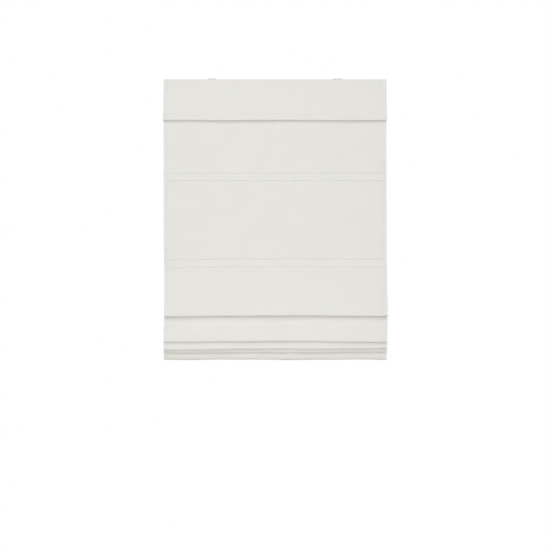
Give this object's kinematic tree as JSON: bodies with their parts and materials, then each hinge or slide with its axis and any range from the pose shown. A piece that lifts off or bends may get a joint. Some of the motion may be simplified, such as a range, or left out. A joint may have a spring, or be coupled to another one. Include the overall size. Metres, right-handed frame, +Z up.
{
  "type": "roman blind",
  "caption": "Cordless roman blind in off-white cloth, half raised: valance over a flat upper panel, soft hanging folds below, rods in sewn pockets and a spring lift in the headrail.",
  "frame": {"origin": "middle of the screw holes in the fixing brackets, on the brackets' top faces", "axes": "+X along the headrail to the viewer's right, +Y towards the window, +Z up"},
  "size_m": [0.8, 0.1034, 1.01],
  "materials": {
    "blind_cloth": "plain weave, matt",
    "hook_and_loop": "woven tape",
    "coated_aluminium": "white powder coat",
    "bar_aluminium": "mill finish",
    "white_plastic": "fine grain",
    "zinc_steel": "bright zinc",
    "latch_plastic": "fine grain",
    "shaft_steel": "drawn",
    "spool_plastic": "smooth",
    "braided_cord": "braided",
    "motor_plastic": "fine grain",
    "spring_steel": "rolled",
    "rod_fibreglass": "smooth",
    "pocket_tape": "lining weave",
    "ring_plastic": "glossy"
  },
  "bodies": {
    "root": {"headrail": "coated_aluminium", "end_cap_left": "white_plastic", "end_cap_right": "white_plastic", "bracket_left": "zinc_steel", "bracket_right": "zinc_steel", "cradle_left": "spool_plastic", "cradle_middle": "spool_plastic", "cradle_right": "spool_plastic", "motor_base": "motor_plastic", "motor_cover": "motor_plastic", "storage_pin": "shaft_steel", "drive_spring": "spring_steel", "hook_tape": "hook_and_loop", "loop_tape": "hook_and_loop", "main_panel": "blind_cloth", "valance": "blind_cloth", "lift_cord_left": "braided_cord", "lift_cord_middle": "braided_cord", "lift_cord_right": "braided_cord"},
    "lift_shaft": {"lift_shaft": "shaft_steel", "output_drum": "motor_plastic", "spool_left": "spool_plastic", "spool_middle": "spool_plastic", "spool_right": "spool_plastic", "cord_turns_left": "braided_cord", "cord_turns_middle": "braided_cord", "cord_turns_right": "braided_cord"},
    "storage_drum": {"storage_drum": "motor_plastic"},
    "latch_left": {"latch_left": "latch_plastic"},
    "latch_right": {"latch_right": "latch_plastic"},
    "rod_1": {"rod_1": "rod_fibreglass", "rod_tips_1": "white_plastic", "rod_pocket_1": "pocket_tape", "cord_rings_1": "ring_plastic"},
    "rod_2": {"rod_2": "rod_fibreglass", "rod_tips_2": "white_plastic", "rod_pocket_2": "pocket_tape", "cord_rings_2": "ring_plastic"},
    "rod_3": {"rod_3": "rod_fibreglass", "rod_tips_3": "white_plastic", "rod_pocket_3": "pocket_tape", "cord_rings_3": "ring_plastic"},
    "rod_4": {"rod_4": "rod_fibreglass", "rod_tips_4": "white_plastic", "rod_pocket_4": "pocket_tape", "cord_rings_4": "ring_plastic"},
    "rod_5": {"rod_5": "rod_fibreglass", "rod_tips_5": "white_plastic", "rod_pocket_5": "pocket_tape", "cord_rings_5": "ring_plastic"},
    "rod_6": {"rod_6": "rod_fibreglass", "rod_tips_6": "white_plastic", "rod_pocket_6": "pocket_tape", "cord_rings_6": "ring_plastic", "cord_stops": "ring_plastic", "bottom_bar": "bar_aluminium", "bar_caps": "white_plastic"}
  },
  "joints": [
    {"name": "rod_1_lift", "type": "slide", "parent": "root", "child": "rod_1", "axis": [0, 0, 1], "range_m": [0, 0.2], "deforming": ["main_panel", "lift_cord_left", "lift_cord_middle", "lift_cord_right"]},
    {"name": "rod_2_lift", "type": "slide", "parent": "rod_1", "child": "rod_2", "axis": [0, 0, 1], "range_m": [0, 0.273]},
    {"name": "rod_3_lift", "type": "slide", "parent": "rod_2", "child": "rod_3", "axis": [0, 0, 1], "range_m": [-0.15, 0.104]},
    {"name": "rod_4_lift", "type": "slide", "parent": "rod_3", "child": "rod_4", "axis": [0, 0, 1], "range_m": [-0.259, 0]},
    {"name": "rod_5_lift", "type": "slide", "parent": "rod_4", "child": "rod_5", "axis": [0, 0, 1], "range_m": [-0.238, 0]},
    {"name": "rod_6_lift", "type": "slide", "parent": "rod_5", "child": "rod_6", "axis": [0, 0, 1], "range_m": [-0.187, 0]},
    {"name": "shaft_turn", "type": "hinge", "parent": "root", "child": "lift_shaft", "pos_m": [0, -0.0083, -0.019], "axis": [-1, 0, 0], "range_deg": [-1119, 776]},
    {"name": "storage_turn", "type": "hinge", "parent": "root", "child": "storage_drum", "pos_m": [0.15, 0.0107, -0.019], "axis": [1, 0, 0], "range_deg": [-1196, 830]},
    {"name": "latch_left_turn", "type": "hinge", "parent": "root", "child": "latch_left", "pos_m": [-0.219, 0.006, -0.0037], "axis": [0, 0, -1], "range_deg": [0, 90]},
    {"name": "latch_right_turn", "type": "hinge", "parent": "root", "child": "latch_right", "pos_m": [0.219, 0.006, -0.0037], "axis": [0, 0, 1], "range_deg": [0, 90]}
  ],
  "couplings": [
    {"joint": "shaft_turn", "follows": "rod_3_lift", "rad_per_m": 129.87},
    {"joint": "storage_turn", "follows": "rod_3_lift", "rad_per_m": 138.89}
  ]
}
